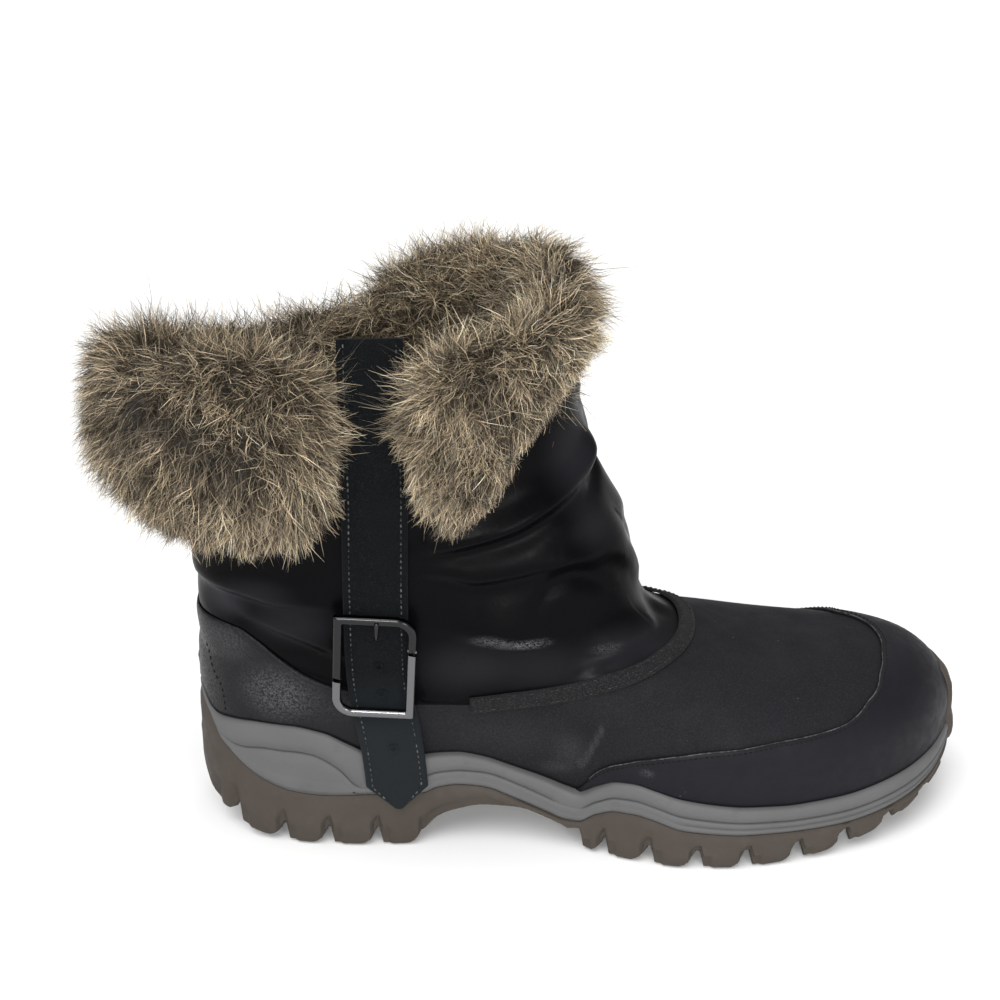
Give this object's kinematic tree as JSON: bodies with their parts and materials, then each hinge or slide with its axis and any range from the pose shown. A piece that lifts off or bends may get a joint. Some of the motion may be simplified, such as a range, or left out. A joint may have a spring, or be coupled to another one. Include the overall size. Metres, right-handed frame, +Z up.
{
  "type": "waterproof winter boot",
  "caption": "Ankle-high waterproof winter boot for the right foot: hollow black upper, fur cuffs, side strap with buckle, cupped midsole and lugged outsole.",
  "frame": {"origin": "on the floor under the middle of the whole boot's box", "axes": "+X from heel to toe, +Y to the medial side, +Z up from the floor"},
  "size_m": [0.3208, 0.1108, 0.2178],
  "materials": {
    "outsole": "matte taupe rubber",
    "midsole": "matte grey foam rubber",
    "insole": "brushed lining fabric",
    "upper": "coated satin nylon shaft and nubuck vamp",
    "toe_guard": "smooth coated leather",
    "heel_counter": "fine grained leather",
    "throat_trim": "suede binding",
    "rear_cuff": "long pile fur",
    "front_cuff": "long pile fur",
    "strap": "suede strap",
    "buckle_frame": "dark polished plating",
    "buckle_prong": "dark polished plating"
  },
  "bodies": {
    "root": {"outsole": "outsole", "midsole": "midsole", "insole": "insole", "upper": "upper", "toe_guard": "toe_guard", "heel_counter": "heel_counter", "throat_trim": "throat_trim", "rear_cuff": "rear_cuff", "front_cuff": "front_cuff", "strap": "strap", "buckle_frame": "buckle_frame", "buckle_prong": "buckle_prong"}
  },
  "joints": []
}
